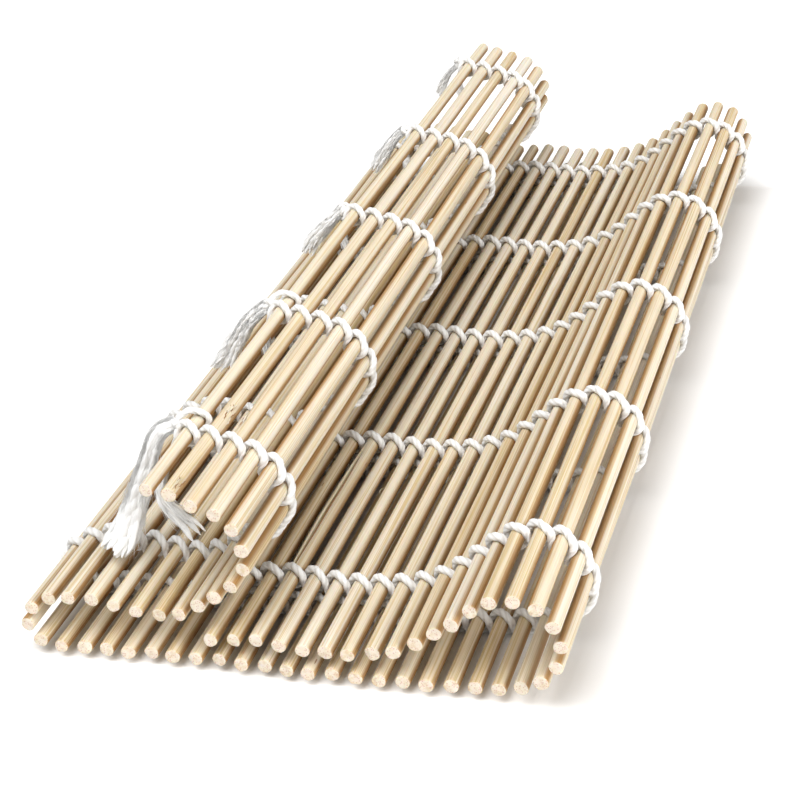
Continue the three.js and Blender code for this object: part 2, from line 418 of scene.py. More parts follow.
@dataclass(frozen=True)
class BambooFinish:
    """Split bamboo: fine lengthwise grain, straw-coloured lines and porous cut ends."""

    name: str
    pale: Colour
    warm: Colour
    line: Colour
    line_streaks: Streaks = Streaks(1500, 11, 0.52, 0.70, 3.0)
    line_share: float = 0.85
    tone_streaks: Streaks = Streaks(170, 3, 0.35, 0.65, 1.0)
    band_streaks: Streaks = Streaks(2300, 7, 0.46, 0.62, 1.0)
    band_share: float = 0.55
    thread_streaks: Streaks = Streaks(4200, 5, 0.54, 0.66, 1.0)
    thread_share: float = 0.75
    fine_streaks: Streaks = Streaks(6500, 55, 0.2, 0.8, 2.0)
    fine_share: float = 0.16
    cut_streaks: Streaks = Streaks(1300, 200, 0.4, 0.7, 2.0)
    flecks: Specks = Specks(1300, 170, 0.13, 0.016)
    pores: Specks = Specks(3300, 60, 0.34, 0.6)
    cut: Colour = (0.78, 0.70, 0.59, 1.0)
    pore: Colour = (0.62, 0.42, 0.33, 1.0)
    fleck: Colour = (0.30, 0.16, 0.07, 1.0)
    # Painted shade: a darker brown on the sides of each slat that face the next slats, where the gaps are in
    # shade.
    flank: Colour = (0.58, 0.39, 0.21, 1.0)
    roughness: float = 0.62
    line_roughness: float = 0.74
    line_groove: float = 0.8
    bump_strength: float = 0.35
    bump_depth: float = 0.05 * MM
    gloss: float = 0.28
    glow_share: float = 0.25
    glow_colours: Place = (1.0, 0.5, 0.2)
    glow_depth: float = 1.2 * MM

    def build(self, streaks: bpy.types.ShaderNodeTree,
              specks: bpy.types.ShaderNodeTree) -> bpy.types.Material:
        """Builds the material.

        Args:
            streaks: The shared streak group.
            specks: The shared speck group.

        Returns:
            The finished material.
        """
        material = bpy.data.materials.new(self.name)
        material.use_nodes = True
        sheet = NodeSheet(material.node_tree)
        place = sheet.add("ShaderNodeTexCoord").outputs["Object"]

        def mask(run: Streaks | Specks) -> bpy.types.NodeSocket:
            """Places streaks or specks along the slat."""
            group = streaks if isinstance(run, Streaks) else specks
            return sheet.effect(group, place, (run.across, run.along, run.across), run.numbers)

        body = sheet.mixed(mask(self.tone_streaks), self.pale, self.warm)
        bands = sheet.maths("MULTIPLY", mask(self.band_streaks), self.band_share)
        banded = sheet.mixed(bands, body, self.warm)
        lines = sheet.maths("MULTIPLY", mask(self.line_streaks), self.line_share)
        lined = sheet.mixed(lines, banded, self.line)
        threads = sheet.maths("MULTIPLY", mask(self.thread_streaks), self.thread_share)
        lined = sheet.mixed(threads, lined, self.line)
        fine = mask(self.fine_streaks)
        shaded = sheet.add("ShaderNodeMix", {0: self.fine_share, 6: lined}, data_type="RGBA",
                           blend_type="MULTIPLY")
        grey = sheet.add("ShaderNodeCombineColor", {0: fine, 1: fine, 2: fine})
        sheet.tree.links.new(grey.outputs[0], shaded.inputs[7])
        # Painted shade on the sides that face the next slats.
        flank = sheet.add("ShaderNodeAttribute", attribute_name="flank").outputs["Fac"]
        gap_shaded = sheet.add("ShaderNodeMix", {0: flank, 6: shaded.outputs[2], 7: self.flank}, data_type="RGBA",
                          blend_type="MULTIPLY")
        flecked = sheet.mixed(mask(self.flecks), gap_shaded.outputs[2], self.fleck)
        # Painted shade in the splits and chips, in the flecks' colour.
        painted_crack_shade = sheet.add("ShaderNodeAttribute", attribute_name="painted_crack_shade").outputs["Fac"]
        crack_shaded = sheet.mixed(painted_crack_shade, flecked, self.fleck)
        mottled = sheet.mixed(mask(self.cut_streaks), self.cut, self.warm)
        pored = sheet.mixed(mask(self.pores), mottled, self.pore)
        cut_end = sheet.add("ShaderNodeAttribute", attribute_name="cut_end").outputs["Fac"]
        colour = sheet.mixed(cut_end, crack_shaded, pored)
        rough = sheet.add("ShaderNodeMapRange", {0: lines, 3: self.roughness, 4: self.line_roughness})
        height = sheet.maths("ADD", fine, sheet.maths("MULTIPLY", lines, -self.line_groove))
        bump = sheet.add("ShaderNodeBump", {"Strength": self.bump_strength, "Distance": self.bump_depth,
                                            "Height": height})
        surface = sheet.add("ShaderNodeBsdfPrincipled", {"Base Color": colour, "Roughness": rough.outputs[0],
                                                         "Normal": bump.outputs[0]})
        surface.inputs["Specular IOR Level"].default_value = self.gloss
        surface.inputs["Subsurface Weight"].default_value = self.glow_share
        surface.inputs["Subsurface Radius"].default_value = self.glow_colours
        surface.inputs["Subsurface Scale"].default_value = self.glow_depth
        sheet.add("ShaderNodeOutputMaterial", {0: surface.outputs[0]})
        return material


@dataclass(frozen=True)
class CottonFinish:
    """White cotton yarn: soft fibres that run with the plies, with painted shade in the grooves between them."""

    name: str
    white: Colour = (0.92, 0.92, 0.91, 1.0)
    shade: Colour = (0.74, 0.73, 0.71, 1.0)
    shade_share: float = 0.5
    # Painted shade in the grooves between the plies, and how strongly it shows.
    painted_groove_shade: Colour = (0.52, 0.49, 0.45, 1.0)
    groove_share: float = 0.75
    fibres_round: float = 5.0
    fibres_along: float = 700.0
    fibre_noise: tuple[tuple[str, float], ...] = (("Detail", 3.0), ("Low", 0.25), ("High", 0.65))
    roughness: float = 0.92
    bump_strength: float = 0.6
    bump_depth: float = 0.06 * MM
    gloss: float = 0.1
    fuzz: float = 0.2
    fuzz_roughness: float = 0.5

    def build(self, streaks: bpy.types.ShaderNodeTree) -> bpy.types.Material:
        """Builds the material.

        Args:
            streaks: The shared streak group.

        Returns:
            The finished material.
        """
        material = bpy.data.materials.new(self.name)
        material.use_nodes = True
        sheet = NodeSheet(material.node_tree)
        place = sheet.add("ShaderNodeAttribute", attribute_name="ply_place").outputs["Vector"]
        # Painted shade in the grooves between the plies.
        deep = sheet.add("ShaderNodeAttribute", attribute_name="painted_ply_shade").outputs["Fac"]
        fibres = sheet.effect(streaks, place, (self.fibres_round, self.fibres_round, self.fibres_along),
                              dict(self.fibre_noise))
        soft = sheet.maths("MULTIPLY", sheet.maths("SUBTRACT", 1.0, fibres), self.shade_share)
        streaked = sheet.mixed(soft, self.white, self.shade)
        colour = sheet.mixed(sheet.maths("MULTIPLY", deep, self.groove_share), streaked, self.painted_groove_shade)
        bump = sheet.add("ShaderNodeBump", {"Strength": self.bump_strength, "Distance": self.bump_depth,
                                            "Height": fibres})
        surface = sheet.add("ShaderNodeBsdfPrincipled", {"Base Color": colour, "Roughness": self.roughness,
                                                         "Normal": bump.outputs[0]})
        surface.inputs["Specular IOR Level"].default_value = self.gloss
        surface.inputs["Sheen Weight"].default_value = self.fuzz
        surface.inputs["Sheen Roughness"].default_value = self.fuzz_roughness
        sheet.add("ShaderNodeOutputMaterial", {0: surface.outputs[0]})
        return material


class BambooTone(Enum):
    """How pale a slat's bamboo is."""

    IVORY = BambooFinish("bamboo_ivory", pale=(0.78, 0.72, 0.62, 1.0), warm=(0.74, 0.66, 0.51, 1.0),
                         line=(0.63, 0.49, 0.28, 1.0))
    CREAM = BambooFinish("bamboo_cream", pale=(0.76, 0.69, 0.57, 1.0), warm=(0.71, 0.61, 0.45, 1.0),
                         line=(0.58, 0.43, 0.21, 1.0))
    STRAW = BambooFinish("bamboo_straw", pale=(0.74, 0.65, 0.50, 1.0), warm=(0.68, 0.56, 0.38, 1.0),
                         line=(0.53, 0.37, 0.16, 1.0), line_streaks=Streaks(1500, 11, 0.47, 0.70, 3.0))


@dataclass
class Slats:
    """The bamboo slats: round rods, none quite straight, with chipped and slightly rounded ends."""

    path: MatPath
    length: float = 236.0 * MM
    sides: int = 22
    cuts: int = 44
    end_cuts: tuple[float, ...] = (0.3 * MM, 0.8 * MM, 1.8 * MM)
    rim: float = 0.13 * MM
    cap_insets: tuple[float, ...] = (0.28 * MM, 0.3 * MM, 0.28 * MM)
    bow: float = 0.14 * MM
    bow_waves: tuple[float, float] = (0.8, 2.3)
    bow_shares: tuple[float, float] = (0.7, 0.3)
    swell_share: float = 0.035
    swells: tuple[tuple[float, float], ...] = ((1.3, 0.5), (3.7, 0.3), (9.1, 0.2))
    oval_share: float = 0.025
    facet_share: float = 0.012
    thickness_share: float = 0.05
    # Where the painted gap shade starts round the slat and how fast it comes in.
    flank_from: float = 0.74
    flank_fade: float = 0.25
    bark_share: float = 0.85
    wear_reach: float = 2.5 * MM
    ragged: float = 0.09 * MM
    ragged_scale: float = 1.1 / MM
    chip_depth: float = 1.6 * MM
    chip_from: float = 0.55
    slant: float = 0.12
    # Slats in the darker straw tone: for some a real tone, for most of slats 21 to 40 painted shade for the lower
    # layer under the upper ones.
    straw_and_shade: tuple[int, ...] = (3, 7, 12, 21, 23, 24, 26, 28, 29, 31, 33, 34, 35, 37, 38, 39, 40, 46, 52, 55,
                              60)
    ivory: tuple[int, ...] = (1, 4, 6, 10, 15, 19, 41, 43, 45, 50, 53, 57, 59)

    def template(self) -> bpy.types.Mesh:
        """Builds one straight rod along Y, with its near end at 0."""
        radius = self.path.diameter / 2
        bm = bmesh.new()
        bmesh.ops.create_cone(bm, cap_ends=True, segments=self.sides, radius1=radius, radius2=radius,
                              depth=self.length)
        turn = Quaternion((1.0, 0.0, 0.0), math.radians(-90)).to_matrix()
        bmesh.ops.rotate(bm, verts=bm.verts[:], cent=(0.0, 0.0, 0.0), matrix=turn)
        bmesh.ops.translate(bm, verts=bm.verts[:], vec=(0.0, self.length / 2, 0.0))
        long_edges = [edge for edge in bm.edges if abs(edge.verts[0].co.y - edge.verts[1].co.y) > radius]
        bmesh.ops.subdivide_edges(bm, edges=long_edges, cuts=self.cuts)
        for inset in self.end_cuts:
            for height in (inset, self.length - inset):
                bmesh.ops.bisect_plane(bm, geom=bm.verts[:] + bm.edges[:] + bm.faces[:],
                                       plane_co=(0.0, height, 0.0), plane_no=(0.0, 1.0, 0.0))
        caps = [face for face in bm.faces if len(face.verts) == self.sides]
        rims = [edge for face in caps for edge in face.edges]
        bmesh.ops.bevel(bm, geom=rims, offset=self.rim, segments=2, profile=0.5, affect="EDGES", material=-1)
        caps = [face for face in bm.faces if len(face.verts) == self.sides]
        layer = bm.verts.layers.float.new("cut_end")
        for cap in caps:
            for vertex in cap.verts:
                vertex[layer] = 1.0
        for inset in self.cap_insets:
            bmesh.ops.inset_region(bm, faces=caps, thickness=inset)
            for cap in caps:
                for vertex in cap.verts:
                    vertex[layer] = 1.0
        for face in bm.faces:
            face.smooth = True
        mesh = bpy.data.meshes.new("slat_template")
        bm.to_mesh(mesh)
        bm.free()
        return mesh

    def shaped(self, points: np.ndarray, slat: SlatPlace) -> np.ndarray:
        """Gives one rod its own bow, thickness and ends, in its place.

        Args:
            points: The template's vertices.
            slat: Where the rod lies.

        Returns:
            The rod's vertices.
        """
        draw = random.Random(slat.number)
        along = points[:, 1] / self.length
        around = np.arctan2(points[:, 2], points[:, 0])
        out = np.hypot(points[:, 0], points[:, 2])
        scale = 1 + self.thickness_share * draw.uniform(-1, 0.6)
        for waves, share in self.swells:
            phase = draw.uniform(0, FULL_TURN)
            scale = scale + self.swell_share * share * np.sin(FULL_TURN * waves * along + phase)
        oval = draw.uniform(0, math.pi)
        scale = scale * (1 + self.oval_share * np.cos(2 * (around - oval))
                         + self.facet_share * np.cos(5 * (around - 2 * oval)))
        shift_x = self.wander(draw, along)
        shift_z = self.wander(draw, along)
        x = slat.centre.x + shift_x + out * scale * np.cos(around)
        z = slat.centre.z + shift_z + out * scale * np.sin(around)
        y = slat.near + along * (slat.far - slat.near)
        y = y + self.end_wear(draw, points, along, around, out)
        return np.stack([x, y, z], axis=1)

    def flanks(self, points: np.ndarray, slat: SlatPlace) -> np.ndarray:
        """Gives how far each vertex faces a neighbouring slat, where the gaps are in shade: painted shade, darker
        towards the next slats.
        """
        out = np.maximum(np.hypot(points[:, 0], points[:, 2]), 0.1 * MM)
        facing = np.abs(points[:, 0] * slat.along.x + points[:, 2] * slat.along.z) / out
        bark = out > self.bark_share * self.path.diameter / 2
        return eased((facing - self.flank_from) / self.flank_fade) * bark

    def wander(self, draw: random.Random, along: np.ndarray) -> np.ndarray:
        """Bends an axis a little along its length."""
        phases = draw.uniform(0, FULL_TURN), draw.uniform(0, FULL_TURN)
        return self.bow * sum(share * np.sin(FULL_TURN * waves * along + phase)
                              for share, waves, phase in zip(self.bow_shares, self.bow_waves, phases))

    def end_wear(self, draw: random.Random, points: np.ndarray, along: np.ndarray, around: np.ndarray,
                 out: np.ndarray) -> np.ndarray:
        """Makes the cut ends uneven and a little slanted, with a chip at one side of the rim.

        Args:
            draw: The rod's own random draws.
            points: The template's vertices.
            along: Their shares of the length.
            around: Their angles round the axis.
            out: Their distances from the axis.

        Returns:
            How far each vertex moves along the rod.
        """
        moved = np.zeros(len(points))
        radius = self.path.diameter / 2
        for sign, share in ((1, along), (-1, 1 - along)):
            offset = Vector((draw.uniform(0, 50), draw.uniform(0, 50), draw.uniform(0, 50)))
            chip_at = draw.uniform(-math.pi, math.pi)
            chip_deep = draw.uniform(0.0, 0.5) ** 2 * self.chip_depth
            slant = draw.uniform(-self.slant, self.slant)
            near = np.nonzero(share * self.length < self.wear_reach)[0]
            for i in near:
                fall = 1 - share[i] * self.length / self.wear_reach
                spot = Vector((points[i, 0], points[i, 2], 0.0)) * self.ragged_scale
                rough = noise.noise(spot + offset) * self.ragged * (1 + out[i] / radius)
                toward = math.cos(around[i] - chip_at)
                chip = chip_deep * max(0.0, toward - self.chip_from) / (1 - self.chip_from)
                chip *= (out[i] / radius) ** 2
                tilt = slant * points[i, 0]
                moved[i] += sign * fall ** 2 * (rough + chip + tilt)
        return moved

    def build(self, finishes: dict[BambooTone, bpy.types.Material]) -> None:
        """Builds every slat in its place.

        Args:
            finishes: The material of each tone.
        """
        template = self.template()
        points = read_points(template)
        replaced = set()
        for slat in self.path.slats:
            mesh = template.copy()
            write_points(mesh, self.shaped(points, slat))
            # Painted shade on the sides that face the next slats.
            write_value(mesh, "flank", self.flanks(points, slat))
            tone = BambooTone.CREAM
            if slat.number in self.straw_and_shade:
                tone = BambooTone.STRAW
            elif slat.number in self.ivory:
                tone = BambooTone.IVORY
            piece = finished_piece(f"rod_{slat.number:02d}", mesh, finishes[tone])
            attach(piece, slat.body)
            if slat.node not in replaced:
                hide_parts(slat.node)
                replaced.add(slat.node)
        bpy.data.meshes.remove(template)


@dataclass
class Yarn:
    """A plied cotton yarn: its thickness, its section and its plies."""

    radius: float = 0.67 * MM
    flatness: float = 1.22
    plies: int = 3
    groove_share: float = 0.21
    groove_sharpness: float = 0.7
    # shade_sharpness sets how narrow the grooves' painted shade is.
    shade_sharpness: float = 2.5
    sides: int = 18

    def template(self, stations: int, name: str) -> bpy.types.Mesh:
        """Builds a straight tube with closed ends that other shapes are drawn from.

        Args:
            stations: How many rings the tube has.
            name: The mesh's name.

        Returns:
            A mesh whose vertices know their station and their angle round the yarn.
        """
        bm = bmesh.new()
        turn = bm.verts.layers.float.new("turn")
        station = bm.verts.layers.float.new("station")
        bmesh.ops.create_circle(bm, cap_ends=False, segments=self.sides, radius=1.0)
        for vertex in bm.verts:
            vertex[turn] = math.atan2(vertex.co.y, vertex.co.x)
        ring = bm.edges[:]
        first = list(ring)
        for i in range(1, stations):
            drawn = bmesh.ops.extrude_edge_only(bm, edges=ring)["geom"]
            fresh = {part for part in drawn if isinstance(part, bmesh.types.BMVert)}
            for vertex in fresh:
                vertex[station] = i
            bmesh.ops.translate(bm, verts=list(fresh), vec=(0.0, 0.0, 1.0))
            ring = [part for part in drawn if isinstance(part, bmesh.types.BMEdge)
                    and part.verts[0] in fresh and part.verts[1] in fresh]
        for face in bm.faces:
            face.smooth = True
        bmesh.ops.contextual_create(bm, geom=first)
        bmesh.ops.contextual_create(bm, geom=ring)
        for edge in first + ring:
            edge.smooth = False
        bmesh.ops.recalc_face_normals(bm, faces=bm.faces[:])
        mesh = bpy.data.meshes.new(name)
        bm.to_mesh(mesh)
        bm.free()
        return mesh

    def frames(self, route: np.ndarray, start: Vector, end: Vector | None,
               lobes: int) -> tuple[np.ndarray, np.ndarray]:
        """Carries the yarn's section along a route.

        Args:
            route: The centre line's points.
            start: Where the section's first ply points at the start.
            end: Where it points at the end, give or take whole plies, or None where it doesn't matter.
            lobes: How many plies the yarn turns by over the route.

        Returns:
            Two vectors for each point that span the section.
        """
        tangents = np.gradient(route, axis=0)
        tangents /= np.linalg.norm(tangents, axis=1)[:, None]
        normal = np.array(start, float)
        normals = []
        for tangent in tangents:
            normal = normal - tangent * (normal @ tangent)
            normal /= np.linalg.norm(normal)
            normals.append(normal)
        normals = np.array(normals)
        sides = np.cross(tangents, normals)
        closing = 0.0
        if end is not None:
            target = np.array(end, float)
            closing = math.atan2(target @ sides[-1], target @ normals[-1])
        walked = np.concatenate([[0.0], np.cumsum(np.linalg.norm(np.diff(route, axis=0), axis=1))])
        turn = (closing + FULL_TURN * lobes / self.plies) * walked / walked[-1]
        cos, sin = np.cos(turn)[:, None], np.sin(turn)[:, None]
        return normals * cos + sides * sin, sides * cos - normals * sin

    def section(self, turn: np.ndarray) -> np.ndarray:
        """Gives the yarn's outline: its distance from the centre line at each angle."""
        plies = np.abs(np.cos(self.plies * turn / 2)) ** self.groove_sharpness
        return self.radius * (1 - self.groove_share + self.groove_share * plies)

    def drawn(self, mesh: bpy.types.Mesh, route: np.ndarray, frames: tuple[np.ndarray, np.ndarray],
              widths: np.ndarray | None = None) -> np.ndarray:
        """Places a template's vertices round a route.

        Args:
            mesh: The template.
            route: The centre line's points, one for each station.
            frames: The two vectors of each station.
            widths: Each station's share of the yarn's thickness, if it isn't whole.

        Returns:
            The vertices' places.
        """
        station = np.rint(read_value(mesh, "station")).astype(int)
        turn = read_value(mesh, "turn")
        reach = self.section(turn)
        if widths is not None:
            reach = reach * widths[station]
        first, second = frames
        offset = first[station] * (reach * np.cos(turn))[:, None]
        offset = offset + second[station] * (reach * np.sin(turn))[:, None]
        return route[station] + offset * np.array([1.0, self.flatness, 1.0])

    def dress(self, mesh: bpy.types.Mesh, turn: np.ndarray, walked: np.ndarray) -> None:
        """Keeps what the cotton's material needs to follow the plies.

        Args:
            mesh: The yarn's mesh.
            turn: Each vertex's angle round the yarn.
            walked: Each vertex's way along the yarn.
        """
        # The grooves between the plies get painted shade.
        painted_groove_shade = 1 - np.abs(np.cos(self.plies * turn / 2))
        write_value(mesh, "painted_ply_shade", painted_groove_shade ** self.shade_sharpness)
        write_vector(mesh, "ply_place", np.stack([np.cos(turn), np.sin(turn), walked], axis=1))


@dataclass
class Strings:
    """The five strings: each is one yarn whose two strands wrap the slats and cross in every gap."""

    path: MatPath
    yarn: Yarn
    count: int = 5
    wrap_radius: float = 1.90 * MM
    crossing: float = 0.98 * MM
    lowest: float = 0.02 * MM
    stations: int = 30
    lobes: int = 3
    box_past_line: float = 1.5 * MM
    lower_shift: float = 1.4 * MM
    shift_from: tuple[int, int] = (20, 27)
    shift_until: tuple[int, int] = (35, 41)
    jitter: float = 0.12 * MM
    jitter_seed: int = 7
    unevenness: float = 0.05 * MM
    unevenness_scale: float = 0.45 / MM
    unevenness_seed: int = 7
    fibre_step: float = 0.37
    first_inner: int = 28
    last_inner: int = 38

    def lines(self) -> list[float]:
        """Gives the strings' lines across the mat, from the near end."""
        return [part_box(f"string_{number + 1}")[1].y - self.box_past_line for number in range(self.count)]

    def shift(self, number: int) -> float:
        """Gives how far the strings run beside their line at a slat of the lower layer."""
        start, full = self.shift_from
        hold, end = self.shift_until
        rise = eased(np.array((number - start) / (full - start)))
        fall = eased(np.array((end - number) / (end - hold)))
        return -self.lower_shift * float(min(rise, fall))

    def crossing_route(self) -> np.ndarray:
        """Gives a strand's centre line from the top of one slat to the underside of the next.

        Returns:
            Points along the mat, across it and out of it.
        """
        half = self.path.pitch / 2
        touch = math.acos(self.wrap_radius / half)
        arc = np.linspace(math.pi / 2, touch, 60)
        over = np.stack([self.wrap_radius * np.cos(arc), self.wrap_radius * np.sin(arc)], axis=1)
        down = over[-1] + (np.array([half, 0.0]) - over[-1]) * np.linspace(0, 1, 20)[1:, None]
        first = np.concatenate([over, down])
        second = np.array([2 * half, 0.0]) - first[::-1][1:]
        flat = np.concatenate([first, second])
        across = -self.crossing * np.sin(math.pi * flat[:, 0] / (2 * half))
        return self.evened(np.stack([flat[:, 0], across, flat[:, 1]], axis=1), self.stations)

    def loop_route(self, forward: float) -> np.ndarray:
        """Gives the turn round a mat's edge, from a slat's left side to its right side.

        Args:
            forward: 1 at the last slat, -1 at the first.

        Returns:
            Points along the mat, across it and out of it.
        """
        turn = np.linspace(0, math.pi, 90)
        slope = self.crossing * math.pi / (2 * self.path.pitch / 2)
        across = -forward * slope * self.wrap_radius / 2 * np.sin(2 * turn)
        ahead, up = forward * self.wrap_radius * np.sin(turn), self.wrap_radius * np.cos(turn)
        return self.evened(np.stack([ahead, across, up], axis=1), self.stations)

    @staticmethod
    def evened(route: np.ndarray, count: int) -> np.ndarray:
        """Spaces a route's points evenly."""
        walked = np.concatenate([[0.0], np.cumsum(np.linalg.norm(np.diff(route, axis=0), axis=1))])
        steps = np.linspace(0, walked[-1], count)
        return np.stack([np.interp(steps, walked, route[:, k]) for k in range(3)], axis=1)

    def bend_reach(self, bend: float) -> float:
        """Gives how far from each slat's centre a gap's yarn stays straight."""
        return (self.wrap_radius + self.yarn.radius) * math.sin(abs(bend) / 2)

    def in_gap(self, points: np.ndarray, number: int) -> np.ndarray:
        """Puts straight yarn into the gap after a slat, bent as the mat bends there.

        Args:
            points: Points along the mat from the slat, across it and out of it.
            number: The slat before the gap.

        Returns:
            The points in the mat's own place.
        """
        slat, bend = self.path.slats[number - 1], self.path.bend_after(number)
        pitch, kept = self.path.pitch, self.bend_reach(bend)
        turn = bend * eased((points[:, 0] - kept) / (pitch - 2 * kept))
        x, z = points[:, 0] - pitch / 2, points[:, 2]
        turned_x = x * np.cos(turn) - z * np.sin(turn) + pitch / 2
        turned_z = x * np.sin(turn) + z * np.cos(turn)
        return self.at_slat(np.stack([turned_x, points[:, 1], turned_z], axis=1), slat)

    @staticmethod
    def at_slat(points: np.ndarray, slat: SlatPlace) -> np.ndarray:
        """Puts points along the mat, across it and out of it into a slat's own place."""
        base = np.array([slat.centre.x, 0.0, slat.centre.z])
        return (base + points[:, :1] * np.array(slat.along) + points[:, 2:] * np.array(slat.left)
                + points[:, 1:2] * np.array([0.0, 1.0, 0.0]))

    def roughened(self, points: np.ndarray) -> np.ndarray:
        """Makes the yarn a little uneven, alike on both sides of a join, and flat on the table."""
        moved = [self.unevenness * noise.noise_vector(Vector(point) * self.unevenness_scale)
                 for point in points]
        rough = points + np.array([tuple(vector) for vector in moved])
        rough[:, 2] = np.maximum(rough[:, 2], self.lowest)
        return rough

    def jitters(self) -> np.ndarray:
        """Gives how far each string strays from its line at each slat."""
        draw = random.Random(self.jitter_seed)
        return np.array([[draw.uniform(-1, 1) * self.jitter for _ in range(self.count)]
                         for _ in range(self.path.slat_count)])

    def build(self, finish: bpy.types.Material) -> None:
        """Builds the strings gap by gap.

        Args:
            finish: The cotton's material.
        """
        # Blender takes the noise vector's seed from the clock unless one is set.
        noise.seed_set(self.unevenness_seed)
        template = self.yarn.template(self.stations, "strand_template")
        route = self.crossing_route()
        frames = self.yarn.frames(route, Vector((0, 0, 1)), Vector((0, 0, -1)), self.lobes)
        strand = self.yarn.drawn(template, route, frames)
        other = strand * np.array([1.0, -1.0, -1.0])
        pair = np.concatenate([strand, other])
        station = read_value(template, "station")
        turn = read_value(template, "turn")
        length = float(np.sum(np.linalg.norm(np.diff(route, axis=0), axis=1)))
        lines, jitters = self.lines(), self.jitters()

        def gap_points(number: int) -> np.ndarray:
            """Places both strands of all strings in one gap."""
            here = self.shift(number) + jitters[number - 1]
            there = self.shift(number + 1) + jitters[number]
            placed = []
            for line, first, second in zip(lines, here, there):
                moved = pair.copy()
                moved[:, 1] += line + first + (second - first) * eased(pair[:, 0] / self.path.pitch)
                placed.append(self.in_gap(moved, number))
            return self.roughened(np.concatenate(placed))

        def dress(mesh: bpy.types.Mesh, gaps: int, first: int) -> None:
            """Keeps the plies' places for one or more gaps."""
            walks = [station / (self.stations - 1) * length + (first + gap) * length + self.fibre_step * k
                     for gap in range(gaps) for k in range(2 * self.count)]
            self.yarn.dress(mesh, np.tile(turn, 2 * self.count * gaps), np.concatenate(walks))

        for number in range(1, self.path.slat_count):
            if self.first_inner <= number <= self.last_inner:
                continue
            name = f"yarn_{number:02d}_{number + 1:02d}"
            mesh = copies_of(template, 2 * self.count, name)
            write_points(mesh, gap_points(number))
            dress(mesh, 1, number)
            piece = finished_piece(name, mesh, finish)
            kept = self.bend_reach(self.path.bend_after(number))
            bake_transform(piece)
        inner = range(self.first_inner, self.last_inner + 1)
        mesh = copies_of(template, 2 * self.count * len(inner), "yarn_lower")
        write_points(mesh, np.concatenate([gap_points(number) for number in inner]))
        dress(mesh, len(inner), self.first_inner)
        piece = finished_piece("yarn_lower", mesh, finish)
        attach(piece, self.path.slats[self.first_inner - 1].body)
        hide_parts(*[f"string_{number + 1}" for number in range(self.count)])
        self.build_loops(template, finish, lines, jitters)
        bpy.data.meshes.remove(template)

    def build_loops(self, template: bpy.types.Mesh, finish: bpy.types.Material, lines: list[float],
                    jitters: np.ndarray) -> None:
        """Builds the turns of all strings round the first and the last slat.

        Args:
            template: The yarn's template.
            finish: The cotton's material.
            lines: The strings' lines.
            jitters: How far each string strays from its line at each slat.
        """
        for name, slat, forward in (("yarn_first_turn", self.path.slats[0], -1.0),
                                    ("yarn_last_turn", self.path.slats[-1], 1.0)):
            route = self.loop_route(forward)
            frames = self.yarn.frames(route, Vector((0, 0, 1)), Vector((0, 0, -1)), self.lobes)
            turn_points = self.yarn.drawn(template, route, frames)
            placed = []
            for line, stray in zip(lines, jitters[slat.number - 1]):
                moved = turn_points + np.array([0.0, line + stray, 0.0])
                placed.append(self.at_slat(moved, slat))
            mesh = copies_of(template, self.count, name)
            write_points(mesh, self.roughened(np.concatenate(placed)))
            station, turn = read_value(template, "station"), read_value(template, "turn")
            walked = station / (self.stations - 1) * math.pi * self.wrap_radius
            self.yarn.dress(mesh, np.tile(turn, self.count), np.tile(walked, self.count))
            piece = finished_piece(name, mesh, finish)
            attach(piece, slat.body)


@dataclass(frozen=True)
class Sliver:
    """A strip of bamboo that stands off a slat, or a dark strip of painted shade in a split in it.

    Lengths are in millimetres and angles in degrees: angle is where it starts round the slat, drift how far
    it turns by its end, and dark its share of the painted shade in a split, in the flecks' colour.
    """

    slat: int
    start: float
    length: float
    angle: float
    drift: float
    lift: float
    width: float
    dark: float


